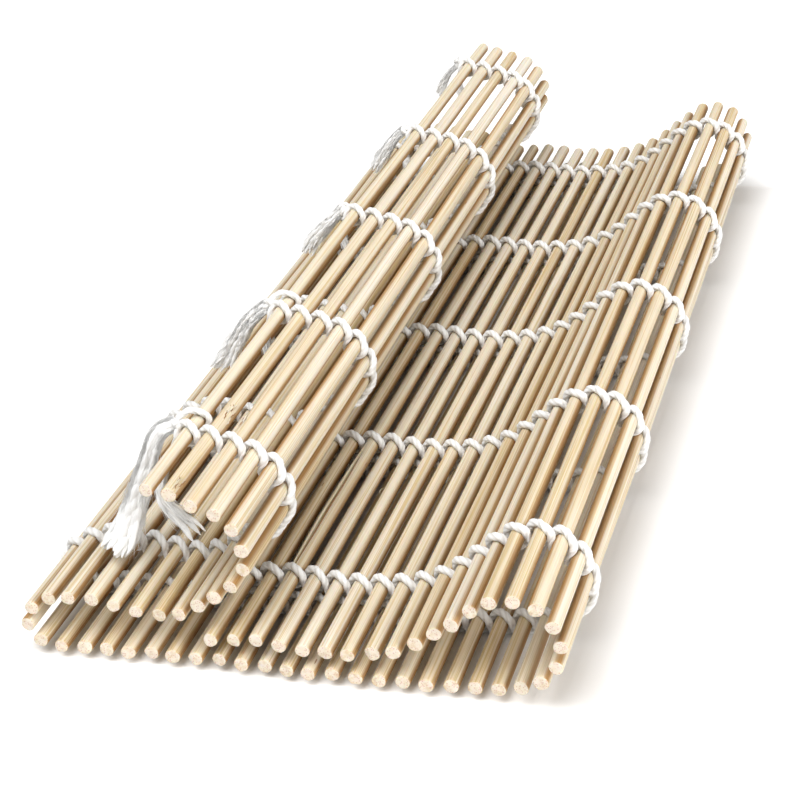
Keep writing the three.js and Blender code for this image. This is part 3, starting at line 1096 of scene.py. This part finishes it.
@dataclass
class Slivers:
    """The few split and chipped places on the slats."""

    path: MatPath
    stations: int = 22
    sides: int = 8
    flat_share: float = 0.55
    waver: float = 2.5
    waves: float = 2.6
    held_ends: float = 0.1
    blunt_share: float = 0.15
    taper: float = 0.6
    # Slivers with dark 1.0 are painted shade in splits and chips.
    slivers: tuple[Sliver, ...] = (
        Sliver(59, -101.0, 52.5, 137, -8, 0.34, 0.50, 0.0),
        Sliver(59, -100.5, 51.5, 106, -6, 0.06, 0.22, 1.0),
        Sliver(2, -91.6, 3.4, 62, 24, 0.02, 0.12, 1.0),
        Sliver(2, -90.4, 2.8, 36, -20, 0.05, 0.10, 1.0),
        Sliver(2, -89.2, 3.6, 76, -30, 0.16, 0.20, 0.0),
        Sliver(2, -92.2, 2.4, 20, 15, 0.12, 0.16, 0.0),
        Sliver(2, -88.6, 2.6, 50, 22, 0.03, 0.10, 1.0),
        Sliver(2, -87.4, 1.8, 84, 14, 0.02, 0.09, 1.0),
        Sliver(3, -91.8, 2.6, 122, -25, 0.05, 0.11, 1.0),
        Sliver(3, -90.8, 3.2, 100, 15, 0.14, 0.17, 0.0),
        Sliver(3, -89.6, 2.2, 132, -10, 0.03, 0.09, 1.0),
        Sliver(2, -115.8, 3.6, 50, 20, 0.10, 0.13, 1.0),
        Sliver(2, -114.8, 3.0, 34, -18, 0.08, 0.11, 1.0),
        Sliver(2, -116.2, 4.2, 66, -10, 0.12, 0.15, 0.0),
        Sliver(57, -66.4, 1.8, 158, -26, 0.42, 0.08, 0.0),
    )

    def build(self, finish: bpy.types.Material) -> None:
        """Builds the slivers of each slat as one piece.

        Args:
            finish: The bamboo's material.
        """
        template = Yarn(sides=self.sides).template(self.stations, "sliver_template")
        station, turn = read_value(template, "station") / (self.stations - 1), read_value(template, "turn")
        radius = self.path.diameter / 2
        for number in sorted({sliver.slat for sliver in self.slivers}):
            slat = self.path.slats[number - 1]
            draw = random.Random(number)
            placed, dark = [], []
            for sliver in (one for one in self.slivers if one.slat == number):
                phase = draw.uniform(0, FULL_TURN)
                angle = np.radians(sliver.angle + sliver.drift * station
                                   + self.waver * np.sin(FULL_TURN * self.waves * station + phase))
                arch = np.sin(math.pi * (self.held_ends + (1 - 2 * self.held_ends) * station)) ** 2
                reach = radius + sliver.lift * MM * arch
                body = np.clip(np.sin(math.pi * station), 0.0, 1.0) ** self.taper
                thin = sliver.width * MM * (self.blunt_share + (1 - self.blunt_share) * body)
                across = thin * np.cos(turn)
                reach = reach + thin * self.flat_share * np.sin(turn)
                x = slat.centre.x + reach * np.cos(angle) - across * np.sin(angle)
                z = slat.centre.z + reach * np.sin(angle) + across * np.cos(angle)
                placed.append(np.stack([x, (sliver.start + sliver.length * station) * MM, z], axis=1))
                # Dark strips are painted shade in a split.
                dark.append(np.full(len(station), sliver.dark))
            mesh = copies_of(template, len(placed), f"slivers_{number:02d}")
            write_points(mesh, np.concatenate(placed))
            write_value(mesh, "painted_crack_shade", np.concatenate(dark))
            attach(finished_piece(f"slivers_{number:02d}", mesh, finish), slat.body)
        bpy.data.meshes.remove(template)


@dataclass(frozen=True)
class TailShape:
    """One frayed end of a string, which hangs from its knot on the first slat; lengths in millimetres."""

    name: str
    string: int
    route: tuple[tuple[float, float, float], ...]
    root_width: float
    end_width: float
    fullness: float


@dataclass(frozen=True)
class Strand:
    """One kind of strand in a frayed end: thick soft tufts, or single fibres."""

    name: str
    yarn: Yarn
    stations: int
    count: int
    spread: float
    depth: float
    thickness: float
    shortest: float
    swing: float
    ripple: float


@dataclass
class Tassels:
    """The knots on the first slat and the strings' frayed ends that hang from them."""

    path: MatPath
    lines: list[float]
    yarn: Yarn
    knot_place: Place = (-2.5, 0.9, 0.9)
    knot_size: float = 0.38 * MM
    knot_depth: float = 1.3
    knot_radius: float = 0.52 * MM
    knot_stations: int = 96
    knot_lobes: int = 9
    hitch_radius: float = 0.6 * MM
    hitch_flatness: float = 1.1
    hitch: tuple[tuple[float, float, float], ...] = (
        (178, 2.4, 0.9), (160, 3.0, 2.2), (125, 2.7, 3.6), (85, 2.05, 4.4), (40, 1.95, 4.9), (0, 1.93, 4.9),
        (-45, 1.92, 4.5), (-90, 1.92, 3.8), (-135, 1.95, 2.9), (-170, 2.1, 1.8), (-184, 2.4, 1.0))
    hitched: tuple[int, ...] = (1, 2)
    hitch_stations: int = 56
    strands: tuple[Strand, ...] = (
        Strand("tufts", Yarn(radius=1.0 * MM, flatness=1.0, plies=4, groove_share=0.22, sides=12),
               stations=34, count=17, spread=0.78, depth=0.6, thickness=0.33, shortest=0.84, swing=0.13,
               ripple=0.16),
        Strand("fuzz", Yarn(radius=0.04 * MM, flatness=1.0, plies=1, groove_share=0.0, sides=3),
               stations=12, count=240, spread=1.15, depth=1.2, thickness=0.0, shortest=0.5, swing=0.3,
               ripple=0.0),
    )
    strand_start: Place = (0.3, 0.8, 0.5)
    flattened: float = 0.24
    least_depth: float = 0.25 * MM
    widening: float = 2.2
    waves: tuple[float, ...] = (1.1, 2.3, 4.1)
    ripple_waves: float = 2.2
    uneven_widths: tuple[float, float] = (0.8, 1.2)
    tip_share: float = 0.12
    tip_sharpness: float = 3.0
    route_points: int = 60
    curve_steps: int = 12
    broad_side: Place = (0.26, -0.85, 0.45)
    tuft_station: float = 0.6 * MM
    tuft_step: float = 3.7 * MM
    turn_station: float = 0.2 * MM
    tails: tuple[TailShape, ...] = (
        TailShape("outer", 1, root_width=1.25, end_width=3.5, fullness=1.0, route=(
            (-2.4, 0.8, 1.4), (-5.1, -0.2, 0.2), (-6.4, -1.2, -2.3), (-7.4, -2.0, -5.7),
            (-8.7, -2.6, -9.2), (-9.9, -3.2, -12.7), (-10.9, -4.4, -16.0), (-11.4, -8.0, -18.2),
            (-11.7, -11.6, -18.8))),
        TailShape("inner", 1, root_width=0.45, end_width=2.1, fullness=0.8, route=(
            (-2.0, -0.6, -0.9), (-1.8, -6.0, -2.6), (-1.3, -11.0, -4.2), (-0.1, -12.5, -6.1),
            (1.5, -13.0, -7.8), (3.9, -13.2, -10.0), (5.6, -13.4, -12.0))),
        TailShape("outer", 2, root_width=1.1, end_width=2.2, fullness=0.8, route=(
            (-2.8, 0.8, 1.1), (-4.6, 0.0, -0.2), (-6.5, -1.0, -2.1), (-8.0, -2.0, -4.5),
            (-9.8, -3.2, -7.4), (-12.0, -5.6, -10.8))),
        TailShape("outer", 3, root_width=1.0, end_width=1.8, fullness=0.75, route=(
            (-2.9, 0.8, 1.2), (-5.0, 0.0, -1.1), (-7.3, -1.0, -3.6), (-9.4, -2.0, -6.0),
            (-10.6, -3.0, -8.4))),
        TailShape("outer", 4, root_width=0.9, end_width=1.6, fullness=0.7, route=(
            (-3.0, 0.8, 1.0), (-5.0, 0.0, -0.7), (-6.8, -1.0, -3.1), (-8.6, -2.0, -5.8),
            (-10.2, -3.0, -8.4))),
        TailShape("outer", 5, root_width=0.6, end_width=1.2, fullness=0.5, route=(
            (-3.0, 0.8, 0.3), (-5.0, 0.0, -1.6), (-6.4, -1.0, -4.2), (-7.6, -2.0, -7.3))),
        TailShape("inner", 2, root_width=0.5, end_width=1.2, fullness=0.5, route=(
            (-2.0, -0.6, -0.9), (-1.9, -3.5, -2.6), (-1.2, -6.0, -4.6), (0.3, -7.5, -6.6))),
        TailShape("inner", 3, root_width=0.5, end_width=1.2, fullness=0.5, route=(
            (-2.0, -0.6, -0.9), (-1.8, -3.0, -2.8), (-0.9, -5.0, -4.9), (0.8, -6.0, -6.4))),
        TailShape("inner", 4, root_width=0.5, end_width=1.2, fullness=0.5, route=(
            (-2.0, -0.6, -0.9), (-1.9, -2.6, -3.0), (-1.4, -4.6, -5.2), (-0.2, -6.2, -7.2))),
        TailShape("inner", 5, root_width=0.5, end_width=1.2, fullness=0.5, route=(
            (-2.0, -0.6, -0.9), (-1.7, -3.2, -2.6), (-0.8, -5.4, -4.4), (0.9, -6.6, -6.0))),
    )

    def curve(self, points: np.ndarray, count: int) -> np.ndarray:
        """Draws a smooth curve through points.

        Args:
            points: The points, in order.
            count: How many evenly spaced points the curve has.

        Returns:
            The curve's points.
        """
        padded = np.concatenate([[2 * points[0] - points[1]], points, [2 * points[-1] - points[-2]]])
        drawn = []
        for i in range(1, len(padded) - 2):
            before, here, there, after = padded[i - 1:i + 3]
            square = 2 * before - 5 * here + 4 * there - after
            cube = 3 * here - before - 3 * there + after
            for t in np.linspace(0, 1, self.curve_steps, endpoint=False):
                drawn.append(0.5 * (2 * here + (there - before) * t + square * t * t + cube * t ** 3))
        drawn.append(points[-1])
        return Strings.evened(np.array(drawn), count)

    def root(self, string: int) -> np.ndarray:
        """Gives the first slat's axis where a string crosses it."""
        slat = self.path.slats[0]
        return np.array([slat.centre.x, self.lines[string - 1], slat.centre.z])

    def strands_of(self, tail: TailShape, kind: Strand, template: bpy.types.Mesh) -> np.ndarray:
        """Spreads one kind of strand along a frayed end.

        Args:
            tail: The frayed end's shape.
            kind: The kind of strand.
            template: The strand's template.

        Returns:
            The vertices of all strands.
        """
        draw = random.Random(31 * tail.string + len(tail.route) + kind.stations)
        middle = self.root(tail.string) + self.curve(np.array(tail.route) * MM, self.route_points)
        tangent = np.gradient(middle, axis=0)
        tangent /= np.linalg.norm(tangent, axis=1)[:, None]
        wide = np.cross(tangent, np.array(self.broad_side))
        wide /= np.linalg.norm(wide, axis=1)[:, None]
        deep = np.cross(wide, tangent)
        share = np.linspace(0, 1, len(middle))
        half = (tail.root_width + (tail.end_width - tail.root_width) * share ** self.widening) * MM

        def along_route(values: np.ndarray, steps: np.ndarray) -> np.ndarray:
            """Reads the route's points or directions at shares of its length."""
            return np.stack([np.interp(steps, share, values[:, k]) for k in range(3)], axis=1)

        count = round(kind.count * tail.fullness)
        placed = []
        for number in range(count):
            lane = (number + 0.5) / count * 2 - 1
            across = kind.spread * (lane + draw.uniform(-1.0, 1.0) / count)
            off = draw.uniform(-kind.depth, kind.depth)
            steps = np.linspace(0, draw.uniform(kind.shortest, 1.0), kind.stations)
            side = np.full(len(steps), across)
            depth = np.full(len(steps), off)
            ripple = np.ones(len(steps))
            for waves in self.waves:
                swing = kind.swing / waves * steps ** 0.5
                side += swing * np.sin(FULL_TURN * (waves * steps + draw.random()))
                depth += swing * np.sin(FULL_TURN * (waves * steps + draw.random()))
                around = waves * self.ripple_waves * steps + draw.random()
                ripple += kind.ripple * np.sin(FULL_TURN * around)
            width = np.interp(steps, share, half)
            route = along_route(middle, steps) + along_route(wide, steps) * (side * width)[:, None]
            depth *= self.least_depth + width * self.flattened
            route += along_route(deep, steps) * depth[:, None]
            widths = np.full(len(steps), 1.0)
            if kind.thickness > 0:
                widths = width / MM * kind.thickness * ripple * draw.uniform(*self.uneven_widths)
            tip = np.sqrt(np.clip((1 - steps / steps[-1]) * self.tip_sharpness, 0.0, 1.0))
            widths = widths * (self.tip_share + (1 - self.tip_share) * tip)
            frames = kind.yarn.frames(route, Vector(self.strand_start), None, 1)
            placed.append(kind.yarn.drawn(template, route, frames, widths))
        return np.concatenate(placed)

    def build(self, yarn_finish: bpy.types.Material, fluff_finish: bpy.types.Material) -> None:
        """Builds the knots, the second turns and the frayed ends.

        Args:
            yarn_finish: The yarn's material.
            fluff_finish: The frayed cotton's material.
        """
        self.build_knots(yarn_finish)
        for kind in self.strands:
            template = kind.yarn.template(kind.stations, f"{kind.name}_template")
            turn, station = read_value(template, "turn"), read_value(template, "station")
            for tail in self.tails:
                name = f"{kind.name}_{tail.string}_{tail.name}"
                points = self.strands_of(tail, kind, template)
                count = len(points) // len(turn)
                mesh = copies_of(template, count, name)
                write_points(mesh, points)
                walked = np.tile(station * self.tuft_station, count)
                walked = walked + np.repeat(np.arange(count), len(station)) * self.tuft_step
                # No painted groove shade on the frayed ends.
                write_value(mesh, "painted_ply_shade", np.zeros(len(walked)))
                write_vector(mesh, "ply_place", np.stack([np.cos(np.tile(turn, count)),
                                                          np.sin(np.tile(turn, count)), walked], axis=1))
                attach(finished_piece(name, mesh, fluff_finish), self.path.slats[0].body)
            bpy.data.meshes.remove(template)

    def build_knots(self, finish: bpy.types.Material) -> None:
        """Ties a small knot in each string beside the first slat, and lays the second turns.

        Args:
            finish: The yarn's material.
        """
        knot = Yarn(radius=self.knot_radius, flatness=1.0, plies=self.yarn.plies,
                    groove_share=self.yarn.groove_share)
        template = knot.template(self.knot_stations, "knot_template")
        turns = np.linspace(0, FULL_TURN, self.knot_stations)
        placed = []
        for string in range(1, len(self.lines) + 1):
            draw = random.Random(string)
            twist = Quaternion(Vector((draw.uniform(-1, 1), 1.0, draw.uniform(-1, 1))).normalized(),
                               draw.uniform(0, FULL_TURN))
            flat = 2 + np.cos(3 * turns)
            loop = np.stack([flat * np.cos(2 * turns), self.knot_depth * np.sin(3 * turns),
                             flat * np.sin(2 * turns)], axis=1)
            spun = np.array([tuple(twist @ Vector(point)) for point in loop]) * self.knot_size
            route = self.root(string) + np.array(self.knot_place) * MM + spun
            frames = knot.frames(route, Vector((0, 0, 1)), None, self.knot_lobes)
            placed.append(knot.drawn(template, route, frames))
        self.wear(template, placed, "knots", finish)
        hitch = Yarn(radius=self.hitch_radius, flatness=self.hitch_flatness, plies=self.yarn.plies,
                     groove_share=self.yarn.groove_share)
        template = hitch.template(self.hitch_stations, "hitch_template")
        bends = np.array(self.hitch)
        angle = np.radians(bends[:, 0])
        around = np.stack([bends[:, 1] * np.cos(angle), bends[:, 2], bends[:, 1] * np.sin(angle)],
                          axis=1) * MM
        placed = []
        for string in self.hitched:
            route = Strings.at_slat(self.curve(around, self.hitch_stations), self.path.slats[0])
            route[:, 1] += self.lines[string - 1]
            frames = hitch.frames(route, Vector((0, 1, 0)), None, self.knot_lobes)
            placed.append(hitch.drawn(template, route, frames))
        self.wear(template, placed, "second_turns", finish)

    def wear(self, template: bpy.types.Mesh, placed: list[np.ndarray], name: str,
             finish: bpy.types.Material) -> None:
        """Makes one piece from several turns of yarn on the first slat.

        Args:
            template: The yarn's template.
            placed: The vertices of each turn.
            name: The piece's name.
            finish: The yarn's material.
        """
        mesh = copies_of(template, len(placed), name)
        write_points(mesh, np.concatenate(placed))
        station, turn = read_value(template, "station"), read_value(template, "turn")
        self.yarn.dress(mesh, np.tile(turn, len(placed)), np.tile(station * self.turn_station, len(placed)))
        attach(finished_piece(name, mesh, finish), self.path.slats[0].body)
        bpy.data.meshes.remove(template)


@dataclass
class Studio:
    """The pale floor, the soft lamps and the camera."""

    camera_place: Place = (0.105168, -0.387778, 0.196328)
    camera_aim: Place = (-0.261576, 0.85405, -0.449641)
    camera_roll: float = math.radians(-3.54)
    lens: float = 94.11
    floor_size: float = 6.0
    floor_drop: float = 0.05 * MM
    floor_colour: Colour = (0.88, 0.87, 0.86, 1.0)
    floor_lift: float = 0.25
    mask_inset: float = 5.0 * MM
    narrow_fade: float = 1.0 * MM
    # How far the painted shadow beside the mat's right side reaches.
    painted_shadow_reach: float = 14.0 * MM
    sky_strength: float = 0.20
    key_place: Place = (-0.24, -0.42, 1.13)
    key_size: float = 1.0
    key_power: float = 17.5
    fill_place: Place = (0.92, -0.40, 0.44)
    fill_size: float = 0.6
    fill_power: float = 9.0

    def build(self) -> None:
        """Builds the whole studio."""
        self.build_camera()
        self.build_floor()
        self.build_sky()
        self.build_lamp("key", self.key_place, self.key_size, self.key_power)
        self.build_lamp("fill", self.fill_place, self.fill_size, self.fill_power)
        bpy.context.scene.view_settings.view_transform = "Standard"

    def build_camera(self) -> None:
        """Places the camera at the photograph's view."""
        lens = bpy.data.cameras.new("camera")
        lens.lens = self.lens
        lens.clip_start = 0.01
        camera = bpy.data.objects.new("camera", lens)
        camera.location = self.camera_place
        camera.rotation_mode = "QUATERNION"
        aim = Vector(self.camera_aim).to_track_quat("-Z", "Y")
        camera.rotation_quaternion = aim @ Quaternion((0.0, 0.0, 1.0), self.camera_roll)
        bpy.context.scene.collection.objects.link(camera)
        bpy.context.scene.camera = camera

    def build_floor(self) -> None:
        """Lays a pale floor that keeps the object's shadow and looks white beside it; the white lift is left out
        under the mat and fades in across a band beside its right side, which paints shade under the mat and a
        darker shadow beside it.
        """
        bm = bmesh.new()
        bmesh.ops.create_grid(bm, x_segments=1, y_segments=1, size=self.floor_size / 2)
        bmesh.ops.translate(bm, verts=bm.verts[:], vec=(0.0, 0.0, -self.floor_drop))
        mesh = bpy.data.meshes.new("floor")
        bm.to_mesh(mesh)
        bm.free()
        material = bpy.data.materials.new("floor_white")
        material.use_nodes = True
        sheet = NodeSheet(material.node_tree)
        # The lift is left out under the mat and beside its right side: painted shade and a painted shadow.
        share = sheet.maths("MULTIPLY", sheet.seen(), self.painted_shadow_mask(sheet))
        strength = sheet.maths("MULTIPLY", share, self.floor_lift)
        lift = sheet.add("ShaderNodeEmission", {0: WHITE, 1: strength})
        matt = sheet.add("ShaderNodeBsdfDiffuse", {0: self.floor_colour})
        both = sheet.add("ShaderNodeAddShader", {0: matt.outputs[0], 1: lift.outputs[0]})
        sheet.add("ShaderNodeOutputMaterial", {0: both.outputs[0]})
        mesh.materials.append(material)
        floor = bpy.data.objects.new("floor", mesh)
        bpy.context.scene.collection.objects.link(floor)

    def painted_shadow_mask(self, sheet: NodeSheet) -> bpy.types.NodeSocket:
        """Masks the floor under the mat and beside its right side, where no light is added: painted shade under
        the mat and a painted shadow beside it.

        Args:
            sheet: The floor material's nodes.

        Returns:
            A value that is 0 under the mat, rises across a wide band beside its right side and a narrow one at its
            other sides, and is 1 further out.
        """
        place = sheet.add("ShaderNodeTexCoord").outputs["Object"]
        parts = sheet.add("ShaderNodeSeparateXYZ", {0: place})
        low, high = cad_box
        middle = (low + high) / 2
        outside = sheet.maths("ABSOLUTE", sheet.maths("SUBTRACT", parts.outputs[1], middle.y), 0.0)
        beside = []
        leftward = sheet.maths("MULTIPLY", parts.outputs[0], -1.0)
        # The wide fade beside the right side paints the mat's shadow there.
        for away, edge, inset, fade in ((leftward, -low.x, self.mask_inset, self.narrow_fade),
                                        (parts.outputs[0], high.x, 0.0, self.painted_shadow_reach),
                                        (outside, high.y - middle.y, self.mask_inset, self.narrow_fade)):
            ramp = sheet.add("ShaderNodeMapRange", {0: away, 1: edge - inset, 2: edge + fade},
                             interpolation_type="SMOOTHSTEP")
            beside.append(ramp.outputs[0])
        return sheet.maths("MAXIMUM", sheet.maths("MAXIMUM", beside[0], beside[1]), beside[2])

    def build_sky(self) -> None:
        """Lights the room softly and shows it white."""
        sky = bpy.data.worlds.new("sky")
        bpy.context.scene.world = sky
        sky.use_nodes = True
        sheet = NodeSheet(sky.node_tree)
        level = sheet.add("ShaderNodeMapRange", {0: sheet.seen(), 3: self.sky_strength, 4: 1.0})
        light = sheet.add("ShaderNodeBackground", {0: WHITE, 1: level.outputs[0]})
        sheet.add("ShaderNodeOutputWorld", {0: light.outputs[0]})

    def build_lamp(self, name: str, place: Place, size: float, power: float) -> None:
        """Hangs a soft lamp that faces the mat.

        Args:
            name: The lamp's name.
            place: Where it hangs.
            size: Its width, in metres.
            power: Its power, in watts.
        """
        light = bpy.data.lights.new(name, "AREA")
        light.size = size
        light.energy = power
        lamp = bpy.data.objects.new(name, light)
        lamp.location = place
        lamp.rotation_mode = "QUATERNION"
        lamp.rotation_quaternion = (-Vector(place)).to_track_quat("-Z", "Y")
        bpy.context.scene.collection.objects.link(lamp)


def main() -> None:
    """Builds the mat and its studio."""
    logging.basicConfig(level=logging.INFO, format="%(name)s %(message)s")
    Studio().build()
    path = MatPath()
    path.read()
    streaks, specks = streak_group(), speck_group()
    finishes = {tone: tone.value.build(streaks, specks) for tone in BambooTone}
    cotton = CottonFinish("cotton_yarn").build(streaks)
    Slats(path).build(finishes)
    Slivers(path).build(finishes[BambooTone.IVORY])
    strings = Strings(path, Yarn())
    strings.build(cotton)
    fluff = CottonFinish("cotton_fluff", shade=FLUFF_SHADE, groove_share=0.0).build(streaks)
    Tassels(path, strings.lines(), strings.yarn).build(cotton, fluff)


if __name__ == "__main__":
    main()
